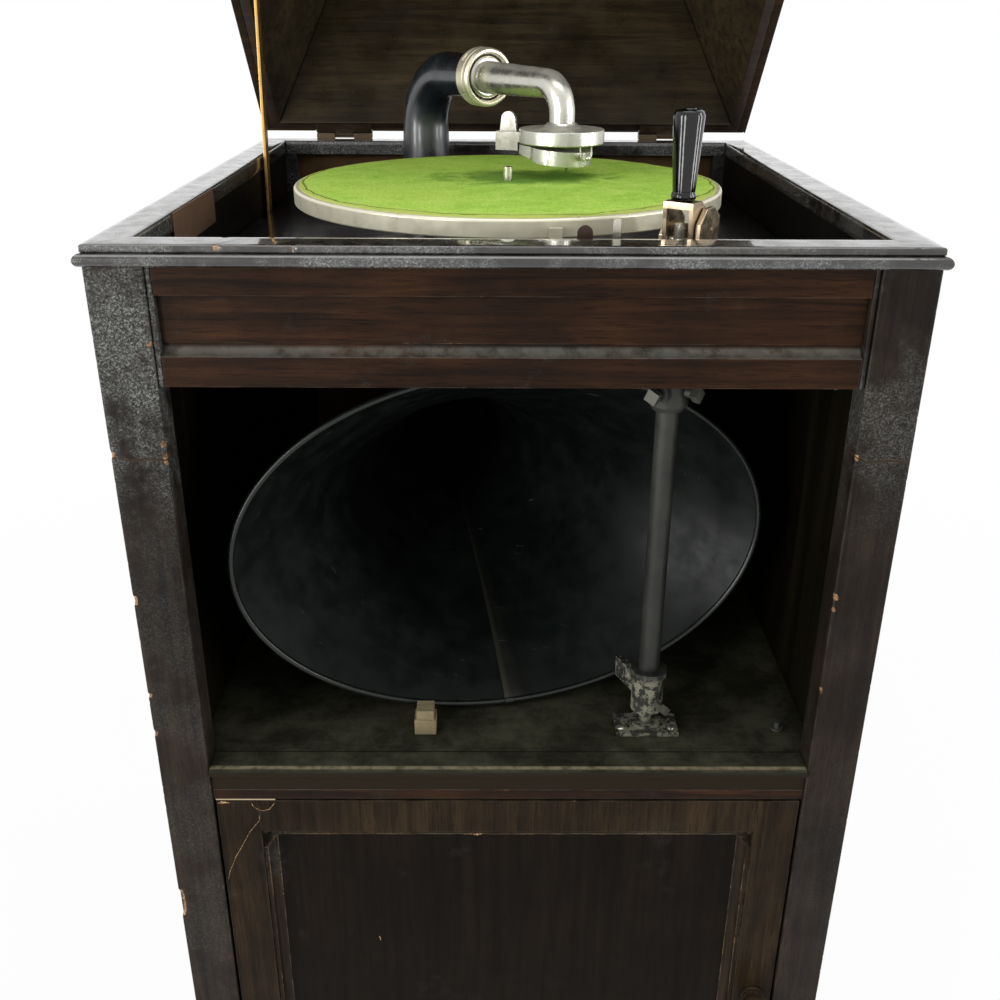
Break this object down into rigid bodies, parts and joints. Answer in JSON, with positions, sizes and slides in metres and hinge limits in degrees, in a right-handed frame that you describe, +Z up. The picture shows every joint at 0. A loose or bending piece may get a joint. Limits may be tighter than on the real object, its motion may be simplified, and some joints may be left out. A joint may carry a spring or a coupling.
{
  "type": "gramophone cabinet",
  "caption": "Floor-standing gramophone cabinet, hinged lid open over a felted turntable, a swinging iron horn in an open bay and a record cupboard with a panelled door below.",
  "frame": {"origin": "point on the floor under the middle of the cabinet's footprint", "axes": "+X to the viewer's right, +Y to the back, +Z up"},
  "size_m": [0.4754, 0.6091, 1.4001],
  "materials": {
    "dark_mahogany": "crackled dark stain and old varnish, worn at the edges",
    "mahogany": "dark red-brown stain and old varnish",
    "plain_board": "plain sawn board, brown stain",
    "dusty_board": "dark stained board under dust",
    "cork": "plain tan block",
    "black_board": "black stained board",
    "black_japan": "black enamel, worn and dusty",
    "gloss_black": "gloss black enamel",
    "worn_nickel": "worn nickel plate",
    "dull_bronze": "brown oxidised bronze",
    "brass": "aged brass",
    "steel": "dull steel",
    "felt": "yellow-green felt, worn"
  },
  "bodies": {
    "cabinet": {"corner_posts": "dark_mahogany", "side_panels": "mahogany", "side_rails": "dark_mahogany", "back_panel": "plain_board", "base_board": "plain_board", "front_rails": "mahogany", "floor_glides": "worn_nickel", "top_frame": "dark_mahogany", "apron_rails": "mahogany", "apron_panel": "mahogany", "post_beads": "mahogany", "bedplate": "black_board", "bedplate_cleats": "plain_board", "horn_bay_floor": "dusty_board", "grille_clips": "dull_bronze", "horn_rest_block": "cork", "pipe_flange": "black_japan", "record_rack": "plain_board", "wall_plate": "dull_bronze", "lift_bracket": "dull_bronze", "slot_plate": "worn_nickel", "motor_frame": "dull_bronze", "crank_escutcheon": "worn_nickel", "hinge_fixed_leaves": "dull_bronze", "hinge_pins": "dull_bronze", "stay_keeper": "dull_bronze", "door_pivots": "dull_bronze"},
    "platter": {"turntable": "worn_nickel", "turntable_felt": "felt", "spindle": "worn_nickel"},
    "idler": {"idler_gear": "brass"},
    "barrel": {"spring_barrel": "brass"},
    "arbor": {"barrel_arbor": "steel"},
    "winder": {"winding_shaft": "steel"},
    "governor": {"governor": "brass"},
    "lever": {"lift_handle": "gloss_black", "lift_yoke": "dull_bronze"},
    "lift": {"lift_post": "worn_nickel"},
    "horn_carriage": {"horn_pipe": "black_japan", "upper_clamp": "black_japan", "lower_clamp": "black_japan", "clamp_bolts": "dull_bronze", "horn_bell": "black_japan", "horn_neck": "gloss_black", "neck_collar": "worn_nickel", "reproducer_arm": "worn_nickel", "sound_box": "worn_nickel"},
    "weight": {"reproducer_weight": "worn_nickel"},
    "brake": {"brake_lever": "dull_bronze"},
    "speed": {"speed_lever": "worn_nickel"},
    "lid": {"lid_rim": "dark_mahogany", "lid_slopes": "mahogany", "lid_top": "dark_mahogany", "lid_hinge_leaves": "dull_bronze", "stay_bracket": "dull_bronze"},
    "stay": {"lid_stay": "brass"},
    "door": {"door_frame": "dark_mahogany", "door_panel": "mahogany", "door_moulding": "mahogany", "door_knob": "mahogany"}
  },
  "joints": [
    {"name": "platter_spin", "type": "hinge", "parent": "cabinet", "child": "platter", "pos_m": [-0.001, -0.0405, 0.95], "axis": [0, 0, 1], "continuous": true},
    {"name": "idler_spin", "type": "hinge", "parent": "cabinet", "child": "idler", "pos_m": [0.02088, -0.00261, 0.855], "axis": [0, 0, 1], "continuous": true},
    {"name": "barrel_spin", "type": "hinge", "parent": "cabinet", "child": "barrel", "pos_m": [0.07298, 0.00379, 0.855], "axis": [0, 0, 1], "continuous": true},
    {"name": "governor_spin", "type": "hinge", "parent": "cabinet", "child": "governor", "pos_m": [-0.02135, -0.0405, 0.857], "axis": [0, 1, 0], "continuous": true},
    {"name": "winding_turn", "type": "hinge", "parent": "cabinet", "child": "winder", "pos_m": [0.07298, 0.02414, 0.843], "axis": [1, 0, 0], "continuous": true},
    {"name": "arbor_turn", "type": "hinge", "parent": "cabinet", "child": "arbor", "pos_m": [0.07298, 0.00379, 0.845], "axis": [0, 0, 1], "continuous": true},
    {"name": "horn_lift", "type": "slide", "parent": "cabinet", "child": "lift", "axis": [0, 0, 1], "range_m": [0, 0.0113]},
    {"name": "lift_lever", "type": "hinge", "parent": "cabinet", "child": "lever", "pos_m": [0.10603, -0.19753, 0.949], "axis": [-0.8192, 0.5736, 0], "range_deg": [0, 45]},
    {"name": "horn_swing", "type": "hinge", "parent": "lift", "child": "horn_carriage", "pos_m": [0.098, -0.209, 0.75], "axis": [0, 0, 1], "range_deg": [-33, 2]},
    {"name": "weight_hinge", "type": "hinge", "parent": "horn_carriage", "child": "weight", "pos_m": [-0.00527, -0.00894, 0.9755], "axis": [-0.309, -0.9511, 0], "range_deg": [0, 3.5]},
    {"name": "brake_turn", "type": "hinge", "parent": "cabinet", "child": "brake", "pos_m": [0.008, -0.217, 0.905], "axis": [0, 0, 1], "range_deg": [0, 5]},
    {"name": "speed_turn", "type": "hinge", "parent": "cabinet", "child": "speed", "pos_m": [0.064, -0.199, 0.905], "axis": [0, 0, 1], "range_deg": [-14, 0]},
    {"name": "lid_hinge", "type": "hinge", "parent": "cabinet", "child": "lid", "pos_m": [0, 0.267, 0.9536], "axis": [1, 0, 0], "range_deg": [0, 49]},
    {"name": "stay_pivot", "type": "hinge", "parent": "lid", "child": "stay", "pos_m": [-0.208, 0.14493, 1.10454], "axis": [1, 0, 0], "range_deg": [-11.96, 0]},
    {"name": "door_hinge", "type": "hinge", "parent": "cabinet", "child": "door", "pos_m": [-0.196, -0.256, 0.35], "axis": [0, 0, -1], "range_deg": [0, 100]}
  ],
  "couplings": [
    {"joint": "idler_spin", "follows": "platter_spin", "ratio": -0.25},
    {"joint": "barrel_spin", "follows": "platter_spin", "ratio": 0.05},
    {"joint": "governor_spin", "follows": "platter_spin", "ratio": 12},
    {"joint": "arbor_turn", "follows": "winding_turn", "ratio": 0.041667},
    {"joint": "lift_lever", "follows": "horn_lift", "rad_per_m": 69},
    {"joint": "stay_pivot", "follows": "lid_hinge", "ratio": -0.24312}
  ]
}
